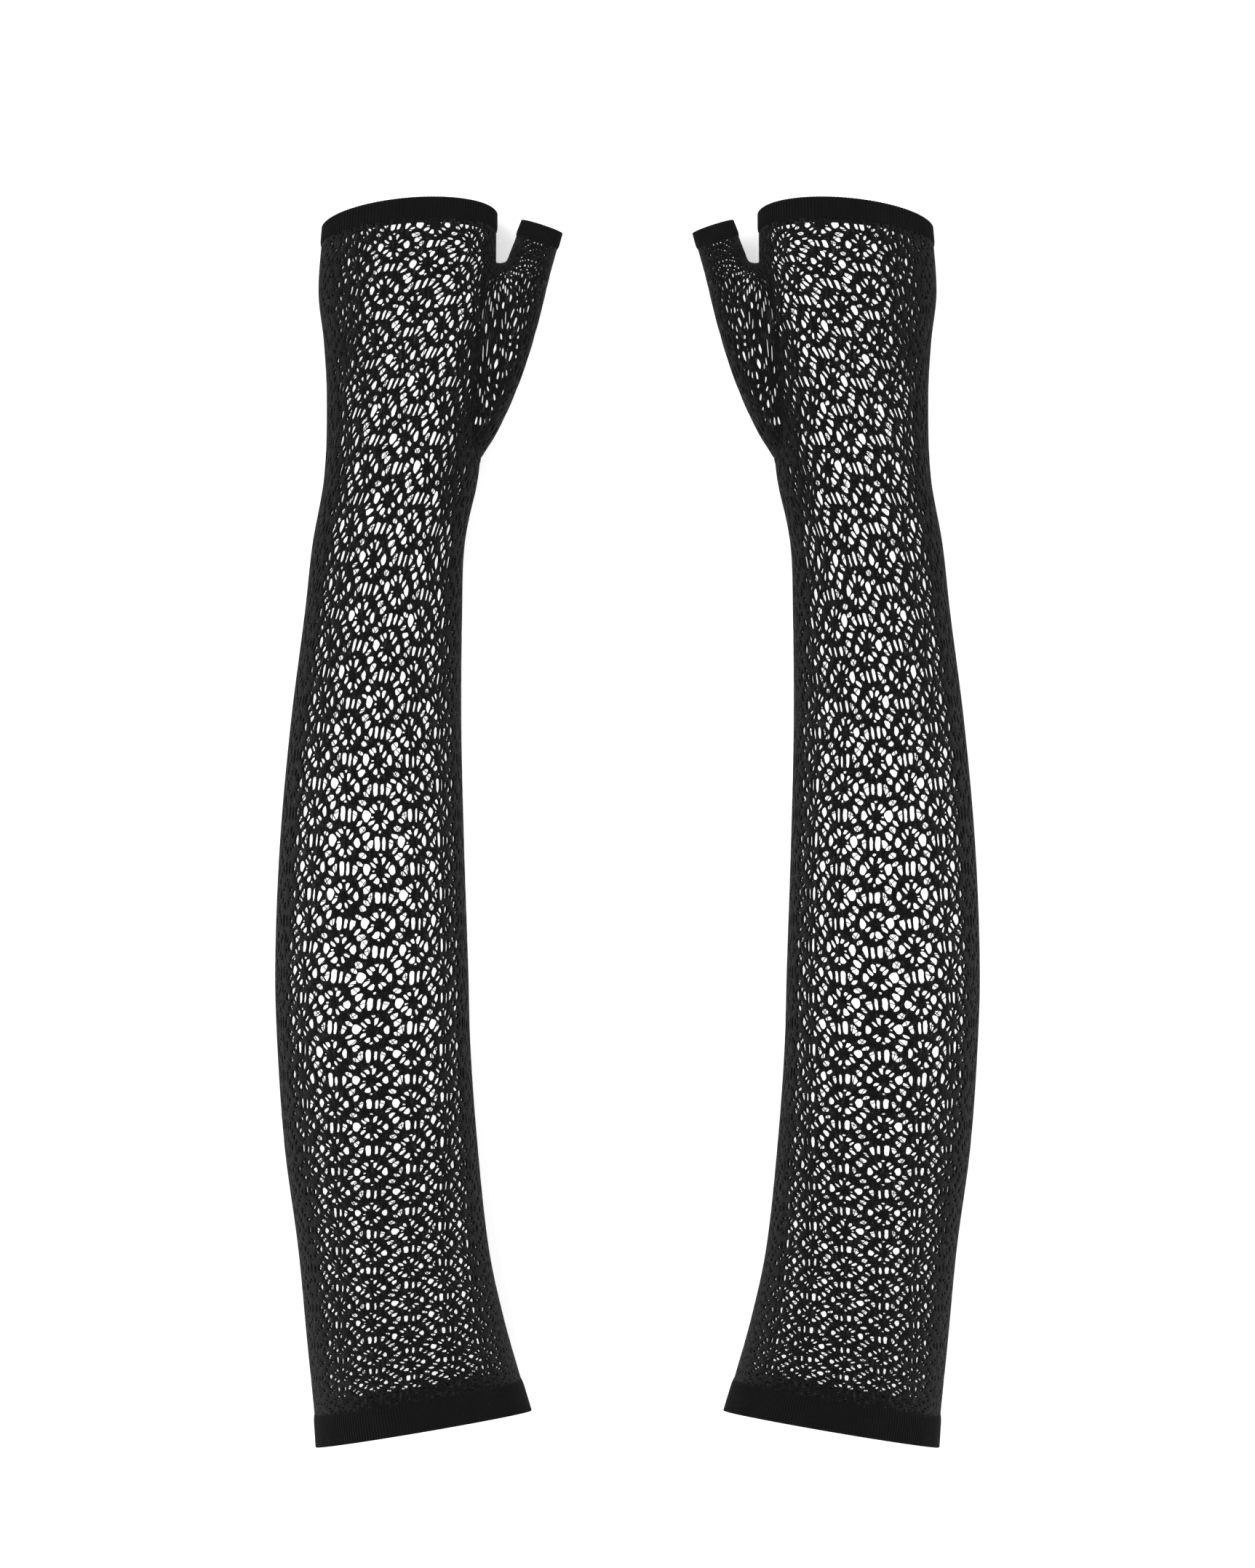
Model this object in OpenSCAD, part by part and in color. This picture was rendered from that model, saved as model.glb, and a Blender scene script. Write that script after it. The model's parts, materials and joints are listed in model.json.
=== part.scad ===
// Pair of long openwork-knit fingerless gloves, lying side by side, filled out
// as if worn. Each glove is one knitted sleeve with a thumb gusset, a short
// thumb tube and three ribbed edges. X runs across the pair, +Y towards the
// fingers, +Z up from the surface that the gloves lie on.

/* [Cloth] */
// Thickness of the knitted wall
wall = 1.8; // [1.2:0.1:2.4]

/* [Sleeve] */
// Height of the ribbed hem at the upper arm
hem_h = 13; // [8:0.5:20]
// Height of the ribbed band at the knuckles
knuckle_h = 7.5; // [5:0.5:12]
// Scale of the widths across the sleeve
girth = 1.0; // [0.95:0.01:1.05]

/* [Joints] */
// Distance of the elbow crease from the middle of the glove
elbow_y = -135; // [-145:1:-125]
// Length of sleeve that folds at the elbow
elbow_len = 82; // [80:1:90]
// Distance of the wrist crease from the middle of the glove
wrist_y = 115; // [110:1:120]
// Length of sleeve that folds at the wrist
wrist_len = 56; // [50:1:60]

/* [Thumb] */
// Lean of the thumb away from the hand, in degrees
thumb_lean = 18; // [16:1:20]
// Width of the thumb tube at its tip
thumb_tip_w = 17.5; // [16:0.5:20]
// Width of the thumb tube where it leaves the gusset
thumb_base_w = 19; // [18:0.5:21]
// Depth of the thumb tube
thumb_d = 18; // [16:0.5:20]
// Height of the ribbed band on the thumb
thumb_band_h = 7; // [5:0.5:8]
// Length of the whole thumb tube, band included
thumb_len = 15.5; // [14:0.5:17]

/* [Hidden] */

yarn = [0.12, 0.12, 0.125];
rib_yarn = [0.09, 0.09, 0.095];

// Facets round the sleeve and round the thumb
N = 32;
NT = 24;

// The sleeve at its measuring points: [along, centre across, width, depth,
// slant of the edge, how far the edge rises in the middle]
SLEEVE = [
    [-250.5, -84, 88.5, 79, 0.17, 3],
    [-237, -86.5, 85.5, 78, 0.17, 2.5],
    [-210, -91.5, 81.5, 76, 0.12, 1],
    [-176, -96.5, 79, 75, 0, 0],
    [-135, -101.5, 80, 75.5, 0, 0],
    [-94, -104.5, 80, 76, 0, 0],
    [-60, -105.5, 80, 75, 0, 0],
    [-10, -105.5, 76.5, 70, 0, 0],
    [40, -104, 71, 62, 0, 0],
    [87, -101, 65.5, 54, 0, 0],
    [115, -99, 63.5, 49, 0, 0],
    [143, -94, 64, 46, 0, 0],
    [175, -91.5, 67, 43.5, 0, 0],
    [200, -91, 70.5, 42, 0.03, 1],
    [222, -91.5, 74, 41, 0.07, 4],
    [249, -90.5, 72.5, 39, 0.087, 8]
];

first_y = SLEEVE[0][0];
last_y = SLEEVE[len(SLEEVE) - 1][0];
hem_y = first_y + hem_h;
knuckle_y = last_y - knuckle_h;
elbow_lo = elbow_y - elbow_len / 2;
elbow_hi = elbow_y + elbow_len / 2;
wrist_lo = wrist_y - wrist_len / 2;
wrist_hi = wrist_y + wrist_len / 2;

// Opening in the side of the hand that the thumb gusset grows from
win_lo = 151;
win_hi = 228;
win_rows = 6;
win_cols = 6;

// Middle of the thumb's open tip
tip = [-35.5, 247, 17];
// Rise of the thumb's middle towards its base
thumb_rise = 3;

// Smooth curve through column k of a table whose first column rises
function seg(T, y, i = 0) = (i >= len(T) - 2 || y < T[i + 1][0]) ? i : seg(T, y, i + 1);
function rate(T, i, k) =
    i == 0 ? (T[1][k] - T[0][k]) / (T[1][0] - T[0][0])
    : i == len(T) - 1 ? (T[i][k] - T[i - 1][k]) / (T[i][0] - T[i - 1][0])
    : (T[i + 1][k] - T[i - 1][k]) / (T[i + 1][0] - T[i - 1][0]);
function at(T, y, k) =
    let (i = seg(T, y), h = T[i + 1][0] - T[i][0], t = (y - T[i][0]) / h,
         p = T[i][k], q = T[i + 1][k], m = rate(T, i, k) * h, n = rate(T, i + 1, k) * h)
    (2*t*t*t - 3*t*t + 1) * p + (t*t*t - 2*t*t + t) * m
    + (3*t*t - 2*t*t*t) * q + (t*t*t - t*t) * n;

// One point of the sleeve at station y and angle f, d inside the outer face.
// The underside is flat where the sleeve lies on the surface.
function sleeve_pt(y, f, d) =
    let (cx = at(SLEEVE, y, 1), a = at(SLEEVE, y, 2) * girth / 2 - d, h = at(SLEEVE, y, 3),
         x = a * cos(f), z = max(d, 0.47 * h + (0.53 * h - d) * sin(f)))
    [cx + x, y + at(SLEEVE, y, 4) * x + at(SLEEVE, y, 5) * abs(sin(f)), z];

// One point of the thumb, s back from its tip
function thumb_pt(s, f, d) =
    let (c = [tip[0] - s * sin(thumb_lean), tip[1] - s * cos(thumb_lean),
              tip[2] + thumb_rise * s / thumb_len],
         a = (thumb_tip_w + (thumb_base_w - thumb_tip_w) * s / thumb_len) / 2 - d,
         b = thumb_d / 2 - d)
    c + [a * cos(f) * cos(thumb_lean), -a * cos(f) * sin(thumb_lean), b * sin(f)];

function ring_of_sleeve(y, d) = [for (k = [0:N - 1]) sleeve_pt(y, 360 * k / N, d)];
function ring_of_thumb(s, d) = [for (k = [0:NT - 1]) thumb_pt(s, 360 * k / NT, d)];

// Faces turn over on the mirrored glove
function turned(faces, side) = side > 0 ? faces : [for (f = faces) [f[2], f[1], f[0]]];
function placed(pts, side) = [for (p = pts) [-side * p[0], p[1], p[2]]];

// Closed shell between an outer and an inner stack of rings. A cell for which
// the hole rule holds is left open, with the wall's edge round it.
function in_hole(i, k, n, hole) =
    len(hole) > 0 && i >= hole[0] && i < hole[1] && ((k + hole[2]) % n) < 2 * hole[2];

module shell(outer, inner, side, hole = []) {
    r = len(outer);
    n = len(outer[0]);
    pts = concat([for (g = outer) each g], [for (g = inner) each g]);
    s = r * n;
    open = [for (i = [0:r - 2]) [for (k = [0:n - 1]) in_hole(i, k, n, hole)]];
    skin = [for (i = [0:r - 2]) for (k = [0:n - 1]) if (!open[i][k])
        let (k2 = (k + 1) % n, a = i * n + k, b = i * n + k2, c = a + n, d = b + n)
        each [[a, b, d], [a, d, c], [s + a, s + d, s + b], [s + a, s + c, s + d]]];
    ends = [for (k = [0:n - 1])
        let (k2 = (k + 1) % n, t = (r - 1) * n)
        each [[k, s + k, s + k2], [k, s + k2, k2],
              [t + k, s + t + k2, s + t + k], [t + k, t + k2, s + t + k2]]];
    rim = len(hole) == 0 ? [] : [for (i = [0:r - 2]) for (k = [0:n - 1]) if (open[i][k])
        let (k2 = (k + 1) % n, kp = (k + n - 1) % n,
             a = i * n + k, b = i * n + k2, c = a + n, d = b + n)
        each concat(
            (i == 0 || !open[i - 1][k]) ? [[a, b, s + b], [a, s + b, s + a]] : [],
            (i == r - 2 || !open[i + 1][k]) ? [[d, c, s + c], [d, s + c, s + d]] : [],
            !open[i][kp] ? [[c, a, s + a], [c, s + a, s + c]] : [],
            !open[i][k2] ? [[b, s + d, s + b], [b, d, s + d]] : [])];
    faces = concat(skin, ends, rim);
    polyhedron(points = placed(pts, side), faces = turned(faces, -side), convexity = 6);
}

module sleeve_part(y0, y1, rows, side, hole = [])
    shell([for (i = [0:rows]) ring_of_sleeve(y0 + (y1 - y0) * i / rows, 0)],
          [for (i = [0:rows]) ring_of_sleeve(y0 + (y1 - y0) * i / rows, wall)], side, hole);

module thumb_part(s0, s1, rows, side)
    shell([for (i = [0:rows]) ring_of_thumb(s0 + (s1 - s0) * i / rows, 0)],
          [for (i = [0:rows]) ring_of_thumb(s0 + (s1 - s0) * i / rows, wall)], side);

// The hand's rows are set so that the thumb opening begins and ends on one
function hand_rows() = concat(
    [for (i = [0:1]) wrist_hi + (win_lo - wrist_hi) * i / 2],
    [for (i = [0:win_rows]) win_lo + (win_hi - win_lo) * i / win_rows],
    [for (i = [1:2]) win_hi + (knuckle_y - win_hi) * i / 2]);

module hand_part(side) {
    ys = hand_rows();
    shell([for (y = ys) ring_of_sleeve(y, 0)], [for (y = ys) ring_of_sleeve(y, wall)],
          side, [2, 2 + win_rows, win_cols / 2]);
}

// Point j of the opening's edge, counted round from the wrist side
function win_pt(j, d) =
    let (q = (j + win_cols / 2) % NT, st = 360 / N, e = win_cols / 2 * st,
         row = (win_hi - win_lo) / win_rows)
    q <= win_cols ? sleeve_pt(win_lo, -e + q * st, d)
    : q <= win_cols + win_rows ? sleeve_pt(win_lo + (q - win_cols) * row, e, d)
    : q <= 2 * win_cols + win_rows ? sleeve_pt(win_hi, e - (q - win_cols - win_rows) * st, d)
    : sleeve_pt(win_hi - (q - 2 * win_cols - win_rows) * row, -e, d);

// Direction in which the gusset leaves the opening's edge: up the arm on the
// wrist side, and outwards all round
function win_dir(j) =
    let (f = 360 * j / NT, w = (1 + cos(f)) / 2)
    [14 + 46 * w, 80 * w - (1 - w), 6 * sin(f)];

function gusset_pt(j, t, d) =
    let (p = win_pt(j, d), q = thumb_pt(thumb_len, 360 * j / NT, d),
         w = (1 + cos(360 * j / NT)) / 2,
         m = win_dir(j), n = (12 + 13 * w) * [sin(thumb_lean), cos(thumb_lean), 0])
    (2*t*t*t - 3*t*t + 1) * p + (t*t*t - 2*t*t + t) * m
    + (3*t*t - 2*t*t*t) * q + (t*t*t - t*t) * n;

module gusset(side) {
    rows = 7;
    shell([for (i = [0:rows]) [for (j = [0:NT - 1]) gusset_pt(j, i / rows, 0)]],
          [for (i = [0:rows]) [for (j = [0:NT - 1]) gusset_pt(j, i / rows, wall)]], side);
}

module hem_band(side) color(rib_yarn) sleeve_part(first_y, hem_y, 2, side);
module upper_arm_lace(side) color(yarn) sleeve_part(hem_y, elbow_lo, 4, side);
module elbow_knit(side) color(yarn) sleeve_part(elbow_lo, elbow_hi, 4, side);
module forearm_lace(side) color(yarn) sleeve_part(elbow_hi, wrist_lo, 9, side);
module wrist_knit(side) color(yarn) sleeve_part(wrist_lo, wrist_hi, 4, side);
module hand_lace(side) color(yarn) hand_part(side);
module knuckle_band(side) color(rib_yarn) sleeve_part(knuckle_y, last_y, 2, side);
module thumb_gusset(side) color(yarn) gusset(side);
module thumb_lace(side) color(yarn) thumb_part(thumb_len, thumb_band_h, 2, side);
module thumb_band(side) color(rib_yarn) thumb_part(thumb_band_h, 0, 2, side);

hem_band(-1);  // left_hem_band
upper_arm_lace(-1);  // left_upper_arm_lace
elbow_knit(-1);  // left_elbow_knit
forearm_lace(-1);  // left_forearm_lace
wrist_knit(-1);  // left_wrist_knit
hand_lace(-1);  // left_hand_lace
knuckle_band(-1);  // left_knuckle_band
thumb_gusset(-1);  // left_thumb_gusset
thumb_lace(-1);  // left_thumb_lace
thumb_band(-1);  // left_thumb_band
hem_band(1);  // right_hem_band
upper_arm_lace(1);  // right_upper_arm_lace
elbow_knit(1);  // right_elbow_knit
forearm_lace(1);  // right_forearm_lace
wrist_knit(1);  // right_wrist_knit
hand_lace(1);  // right_hand_lace
knuckle_band(1);  // right_knuckle_band
thumb_gusset(1);  // right_thumb_gusset
thumb_lace(1);  // right_thumb_lace
thumb_band(1);  // right_thumb_band
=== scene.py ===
import bpy, json, math
import numpy as np
from mathutils.geometry import delaunay_2d_cdt
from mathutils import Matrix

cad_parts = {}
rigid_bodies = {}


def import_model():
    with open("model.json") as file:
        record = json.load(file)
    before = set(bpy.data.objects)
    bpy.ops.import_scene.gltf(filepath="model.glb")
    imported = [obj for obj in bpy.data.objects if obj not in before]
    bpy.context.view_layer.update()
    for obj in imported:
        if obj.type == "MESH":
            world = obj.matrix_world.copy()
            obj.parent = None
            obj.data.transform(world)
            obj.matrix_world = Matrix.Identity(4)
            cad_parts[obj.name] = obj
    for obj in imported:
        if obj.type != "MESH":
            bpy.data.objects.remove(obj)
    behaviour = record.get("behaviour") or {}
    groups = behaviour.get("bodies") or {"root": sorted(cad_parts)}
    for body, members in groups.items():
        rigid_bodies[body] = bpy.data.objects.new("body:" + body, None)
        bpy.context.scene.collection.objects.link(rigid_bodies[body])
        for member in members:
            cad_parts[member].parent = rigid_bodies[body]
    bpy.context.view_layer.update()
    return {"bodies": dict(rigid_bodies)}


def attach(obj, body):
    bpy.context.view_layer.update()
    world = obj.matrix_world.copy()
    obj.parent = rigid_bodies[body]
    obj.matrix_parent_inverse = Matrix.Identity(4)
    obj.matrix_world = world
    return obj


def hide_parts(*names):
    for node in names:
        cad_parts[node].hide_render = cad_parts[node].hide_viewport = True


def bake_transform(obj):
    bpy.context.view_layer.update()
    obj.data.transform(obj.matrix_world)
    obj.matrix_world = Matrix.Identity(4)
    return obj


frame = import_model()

MM = 0.001
rng = np.random.default_rng(11)

# ---------------------------------------------------------------- the sleeve
# The left glove in millimetres, as the CAD model has it:
# along, centre across, width, depth, slant of the edge, rise of the edge
SLEEVE = np.array([
    [-250.5, -84, 88.5, 79, 0.17, 3], [-237, -86.5, 85.5, 78, 0.17, 2.5], [-210, -91.5, 81.5, 76, 0.12, 1],
    [-176, -96.5, 79, 75, 0, 0], [-135, -101.5, 80, 75.5, 0, 0], [-94, -104.5, 80, 76, 0, 0],
    [-60, -105.5, 80, 75, 0, 0], [-10, -105.5, 76.5, 70, 0, 0], [40, -104, 71, 62, 0, 0],
    [87, -101, 65.5, 54, 0, 0], [115, -99, 63.5, 49, 0, 0], [143, -94, 64, 46, 0, 0],
    [175, -91.5, 67, 43.5, 0, 0], [200, -91, 70.5, 42, 0.03, 1], [222, -91.5, 74, 41, 0.07, 4],
    [249, -90.5, 72.5, 39, 0.087, 8]])
FIRST, LAST, HEM_H, KNUCKLE_H = -250.5, 249.0, 13.0, 7.5
ELBOW_LO, ELBOW_HI, WRIST_LO, WRIST_HI = -176.0, -94.0, 87.0, 143.0
TIP, LEAN, THUMB_LEN, THUMB_BAND, TIP_W, BASE_W, THUMB_D, THUMB_RISE = (
    (-35.5, 247.0, 17.0), math.radians(18), 15.5, 7.0, 17.5, 19.0, 18.0, 3.0)
WIN_LO, WIN_HI, WIN_HALF = 151.0, 228.0, math.radians(33.75)


def hermite(table, y, k):
    """Smooth curve through column k of a table, past its ends too."""
    Y, V = table[:, 0], table[:, k]
    rate = np.empty(len(Y))
    rate[1:-1] = (V[2:] - V[:-2]) / (Y[2:] - Y[:-2])
    rate[0], rate[-1] = (V[1] - V[0]) / (Y[1] - Y[0]), (V[-1] - V[-2]) / (Y[-1] - Y[-2])
    i = np.clip(np.searchsorted(Y, y, side="right") - 1, 0, len(Y) - 2)
    h = Y[i + 1] - Y[i]
    t = (y - Y[i]) / h
    p, q, m, n = V[i], V[i + 1], rate[i] * h, rate[i + 1] * h
    return (2*t**3 - 3*t*t + 1)*p + (t**3 - 2*t*t + t)*m + (3*t*t - 2*t**3)*q + (t**3 - t*t)*n


def sleeve(th, y, d=0.0):
    """Point of the sleeve at angle th from its top, y along it, d inside its outer face."""
    s, c = np.sin(th), np.cos(th)
    h = hermite(SLEEVE, y, 3)
    x = (hermite(SLEEVE, y, 2) / 2 - d) * s
    z = np.maximum(d, 0.47*h + (0.53*h - d)*c)
    return np.stack([hermite(SLEEVE, y, 1) + x, y + hermite(SLEEVE, y, 4)*x + hermite(SLEEVE, y, 5)*np.abs(c), z], -1)


def thumb(s, f, d=0.0):
    """Point of the thumb tube, s back from its tip, f round it from its outer side."""
    s, f = np.broadcast_arrays(np.asarray(s, float), np.asarray(f, float))
    a = (TIP_W + (BASE_W - TIP_W)*s/THUMB_LEN)/2 - d
    b = THUMB_D/2 - d
    return np.stack([TIP[0] - s*math.sin(LEAN) + a*np.cos(f)*math.cos(LEAN),
                     TIP[1] - s*math.cos(LEAN) - a*np.cos(f)*math.sin(LEAN),
                     TIP[2] + THUMB_RISE*s/THUMB_LEN + b*np.sin(f)], -1)


def spow(v, e):
    return np.sign(v)*np.abs(v)**e


def rim(f, d=0.0, grow=1.0):
    """Edge of the thumb opening in the side of the hand; f runs as it does round the thumb."""
    mid, half = (WIN_LO + WIN_HI)/2, (WIN_HI - WIN_LO)/2
    y = mid - grow*half*spow(np.cos(f), 0.75)
    g = grow*WIN_HALF*spow(np.sin(f), 0.75)
    return sleeve(np.pi/2 - g, y, d)


def gusset(f, t, d=0.0):
    """Loft from the opening's edge, t 0, to the base of the thumb tube, t 1. Below 0 it lies on the hand."""
    f, t = np.broadcast_arrays(np.asarray(f, float), np.asarray(t, float))
    u = np.clip(t, 0, 1)[..., None]
    w = ((1 + np.cos(f))/2)[..., None]
    p, q = rim(f, d, 1 + 0.16*np.clip(-t, 0, 1)), thumb(THUMB_LEN, f, d)
    m = np.concatenate([14 + 46*w, 80*w - (1 - w), 6*np.sin(f)[..., None]], -1)
    n = (12 + 13*w)*np.array([math.sin(LEAN), math.cos(LEAN), 0])
    a = (2*u**3 - 3*u*u + 1)*p + (u**3 - 2*u*u + u)*m + (3*u*u - 2*u**3)*q + (u**3 - u*u)*n
    past = np.clip(t - 1, 0, None)
    b = thumb(THUMB_LEN - past*THUMB_LEN, f, d)
    return np.where(t[..., None] > 1, b, a)


def normals(F, u, v, eu, ev):
    a = F(u + eu, v) - F(u - eu, v)
    b = F(u, v + ev) - F(u, v - ev)
    n = np.cross(a, b)
    return n/np.maximum(np.linalg.norm(n, axis=-1, keepdims=True), 1e-9)


# ------------------------------------------------------- one repeat of lace
# Openings round one wheel of the lace, in tenths of a stitch: x across, y down.
# Columns stand 51.5 apart and rows 72 apart, and every second column is half a row up.
CELL = [
    [(-23.1,-6),(-18.8,-7),(-14.4,-4.9),(-12.5,-1.1),(-15.5,3.8),(-18.8,8.1),(-23.1,7),(-25,1.6)],
    [(12.7,.5),(15.9,-3.8),(19.7,-6.5),(21.4,-3.8),(21.6,3.8),(19.7,7),(16.5,7.6),(13.8,3.8)],
    [(-13.9,-10.3),(-11.7,-10.3),(-6.3,-6),(-5.7,-3.3),(-8.5,-2.7),(-12.8,-7)],
    [(-9,-13.6),(-5.7,-15.2),(-2.5,-14.6),(-1.6,-9.2),(-3.6,-7.6),(-7.4,-10.8)],
    [(-1.2,-19),(1.8,-20),(4.6,-19.5),(2.9,-16.8),(.8,-16.8)],
    [(2.9,-14.6),(6.2,-16.8),(9.7,-15.7),(7.8,-11.4),(5.1,-7),(2.7,-6.5)],
    [(6.2,-2.7),(10.5,-8.1),(14.6,-10.8),(14.9,-8.7),(11.6,-3.8),(7.3,-1.1)],
    [(5.6,6.5),(8.9,5.4),(13.8,9.2),(12.7,11.4),(9.4,11.4),(6.7,8.7)],
    [(2.4,10.3),(4.6,10.3),(7.8,14.6),(7.3,17.9),(4.6,18.4),(2.4,13.6)],
    [(-3,20),(-.3,19.5),(.8,21.1),(-1.4,23.3),(-3.4,22.2)],
    [(-11.7,17.4),(-7.9,12.5),(-3,9.8),(-2,11.4),(-2.5,17.9),(-6.8,19.5)],
    [(-17.1,11.4),(-13.3,6.5),(-7.9,4.9),(-6.8,6.5),(-11.2,11.4),(-16.1,13.6)],
    [(-12.3,1.9),(-8.2,1),(-7.2,2.2),(-11,3.6)],
    [(-16,-33),(-11.7,-39.6),(-7.4,-41.8),(-7.9,-35.2),(-10.1,-28.7),(-11.7,-28.2)],
    [(-4.1,-42.3),(-1,-43.4),(2.4,-43.4),(2.4,-35.2),(.8,-25.5),(-4.7,-26)],
    [(7.3,-41.2),(11.1,-42.3),(10.5,-33.1),(8.9,-25.5),(5.6,-26)],
    [(15.9,-41.2),(21.9,-38.5),(21.9,-35.2),(18.7,-29.8),(14.9,-25.5),(13.8,-29.8)],
    [(18.7,-21.7),(22.5,-27.7),(27.9,-30.4),(29,-28.2),(24.6,-23.3),(20.3,-21.1)],
    [(22.5,-18.4),(29,-21.7),(33.8,-21.7),(33.8,-17.9),(29,-13),(23.5,-11.9)],
    [(27.3,-8.7),(30,-11.9),(36.6,-14.6),(37.6,-12.5),(34.9,-6),(30,-2.2),(27.9,-3.8)],
    [(27.3,6),(31.7,4.9),(36.6,10.3),(34.9,11.9),(30,10.8),(27.7,8.1)],
    [(20.3,16.3),(24.6,14.1),(29,15.2),(32.2,18.4),(29,21.7),(24.1,22.2),(20.8,19)],
    [(14.9,25.5),(18.1,24.4),(22.5,26),(25.2,30.4),(22.5,31.5),(16.5,29.3)],
]
PX, PY = 51.5, 72.0
GROW = 1.06      # the openings as they stand stretched on an arm, by area


# Fine threads that cross the openings of the ladders: opening, then both ends
THREADS = [
    (13, (-15.4, -33.9), (-7.4, -36.8)), (16, (14.3, -37.2), (21.6, -33.6)), (17, (20.3, -24.9), (28.7, -26.6)),
    (18, (24.8, -20.6), (31.6, -14.6)), (19, (29.6, -12.4), (35.9, -7.0)), (20, (31.0, 4.6), (31.4, 11.6)),
    (21, (22.4, 14.4), (27.2, 22.4)), (22, (21.2, 25.0), (19.3, 30.8)), (13, (-11.2, -39.9), (-9.6, -28.4)),
    (18, (33.9, -20.2), (26.4, -12.2)), (21, (29.9, 15.4), (22.4, 21.6))]


def area2(p):
    q = np.roll(p, -1, 0)
    return float((p[:, 0]*q[:, 1] - q[:, 0]*p[:, 1]).sum())


def rounded(poly):
    p = np.array(poly, float)
    if area2(p) < 0:
        p = p[::-1]
    q = np.roll(p, -1, 0)
    c = np.empty((2*len(p), 2))
    c[0::2], c[1::2] = 0.86*p + 0.14*q, 0.14*p + 0.86*q
    seg = np.linalg.norm(np.roll(c, -1, 0) - c, axis=1)
    at = np.concatenate([[0], np.cumsum(seg)])
    n = int(np.clip(round(at[-1]/3.1), 7, 13))
    s = np.arange(n)/n*at[-1]
    closed = np.vstack([c, c[:1]])
    r = np.stack([np.interp(s, at, closed[:, 0]), np.interp(s, at, closed[:, 1])], -1)
    m = r.mean(0)
    return m + (r - m)*math.sqrt(GROW*area2(p)/area2(r))


def to_segments(pts, poly):
    a, b = poly, np.roll(poly, -1, 0)
    d = b - a
    t = np.clip(((pts[:, None] - a)*d).sum(-1)/np.maximum((d*d).sum(-1), 1e-9), 0, 1)
    return np.linalg.norm(pts[:, None] - (a + t[..., None]*d), axis=-1).min(1)


class Lace:
    """A repeat of two wheels, columns 2A and 2A + 1 of row B, whose mesh joins its neighbours'."""
    def __init__(self):
        shapes = [rounded([(x + 0.078*y, -y) for x, y in c]) for c in CELL]
        self.holes = []
        for base in ((0.0, 0.0), (PX, PY/2)):
            for s in shapes:
                self.holes.append(s + np.array(base))
        around = [(da, db) for da in (-1, 0, 1) for db in (-1, 0, 1)]
        crest = []
        self.gap = 99.0
        for i, h in enumerate(self.holes):
            g = np.full(len(h), 99.0)
            for da, db in around:
                for j, o in enumerate(self.holes):
                    if (da, db) == (0, 0) and i == j:
                        continue
                    o2 = o + np.array([2*PX*da, PY*db])
                    if np.linalg.norm(o2.mean(0) - h.mean(0)) < 34:
                        g = np.minimum(g, to_segments(h, o2))
            e = np.roll(h, -1, 0) - np.roll(h, 1, 0)
            n = np.stack([e[:, 1], -e[:, 0]], -1)
            n /= np.linalg.norm(n, axis=1, keepdims=True)
            self.gap = min(self.gap, float(g.min()))
            crest.append(h + n*np.minimum(1.15, 0.38*g)[:, None])
        self.crest = crest
        self.first = np.cumsum([0] + [len(h) for h in self.holes])
        self.nv = int(self.first[-1])
        # one triangulation of the cloth between the openings, kept where its middle lies in this repeat
        pts, faces, tag = [], [], []
        for da in (-1, 0, 1):
            for db in (-2, -1, 0, 1, 2):
                for i, c in enumerate(crest):
                    faces.append(list(range(len(pts), len(pts) + len(c))))
                    for j, p in enumerate(c):
                        pts.append((p[0] + 2*PX*da, p[1] + PY*db))
                        tag.append((da, db, int(self.first[i]) + j))
        out = delaunay_2d_cdt([p for p in pts], [], faces, 0, 1e-6, True)
        co, tris, ov, of = out[0], out[2], out[3], out[5]
        self.tris = []
        for k, t in enumerate(tris):
            if len(of[k]):
                continue
            m = sum((np.array(co[v]) for v in t), np.zeros(2))/3
            if 0 <= m[0] < 2*PX and 0 <= m[1] < PY:
                self.tris.append([tag[ov[v][0]] for v in t])
        self.flat_h = np.concatenate(self.holes)
        self.flat_c = np.concatenate(crest)
        self.owner = np.concatenate([[i]*len(h) for i, h in enumerate(self.holes)])
        self.mid = np.array([h.mean(0) for h in self.holes])

    def spread(self, blocks_round, rows, periodic=True):
        """All repeats: (pattern coordinates of every hole's middle, its offsets, triangles)."""
        A, B = np.meshgrid(np.arange(blocks_round), np.arange(rows[0], rows[1]), indexing="xy")
        A, B = A.ravel(), B.ravel()
        shift = np.stack([2.0*A, B.astype(float)], -1)
        scale = np.array([PX, PY])
        mid = (self.mid/scale)[self.owner][None] + shift[:, None]
        dh = ((self.flat_h - self.mid[self.owner])/scale)[None] + 0*mid
        dc = ((self.flat_c - self.mid[self.owner])/scale)[None] + 0*mid
        hole = np.arange(len(A))[:, None]*len(self.holes) + self.owner[None]
        T = np.array([[(v[0], v[1], v[2]) for v in t] for t in self.tris])
        ta = A[:, None, None] + T[None, :, :, 0]
        tb = B[:, None, None] + T[None, :, :, 1]
        ok = ((tb >= rows[0]) & (tb < rows[1])).all(-1)
        if periodic:
            ta = ta % blocks_round
        else:
            ok &= ((ta >= 0) & (ta < blocks_round)).all(-1)
        index = ((tb - rows[0])*blocks_round + ta)*self.nv + T[None, :, :, 2]
        return mid.reshape(-1, 2), dh.reshape(-1, 2), dc.reshape(-1, 2), hole.reshape(-1), index[ok]


LACE = Lace()
print("lace: holes", len(LACE.holes), "points", LACE.nv, "triangles", len(LACE.tris), "least strand", round(LACE.gap, 2))

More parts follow.
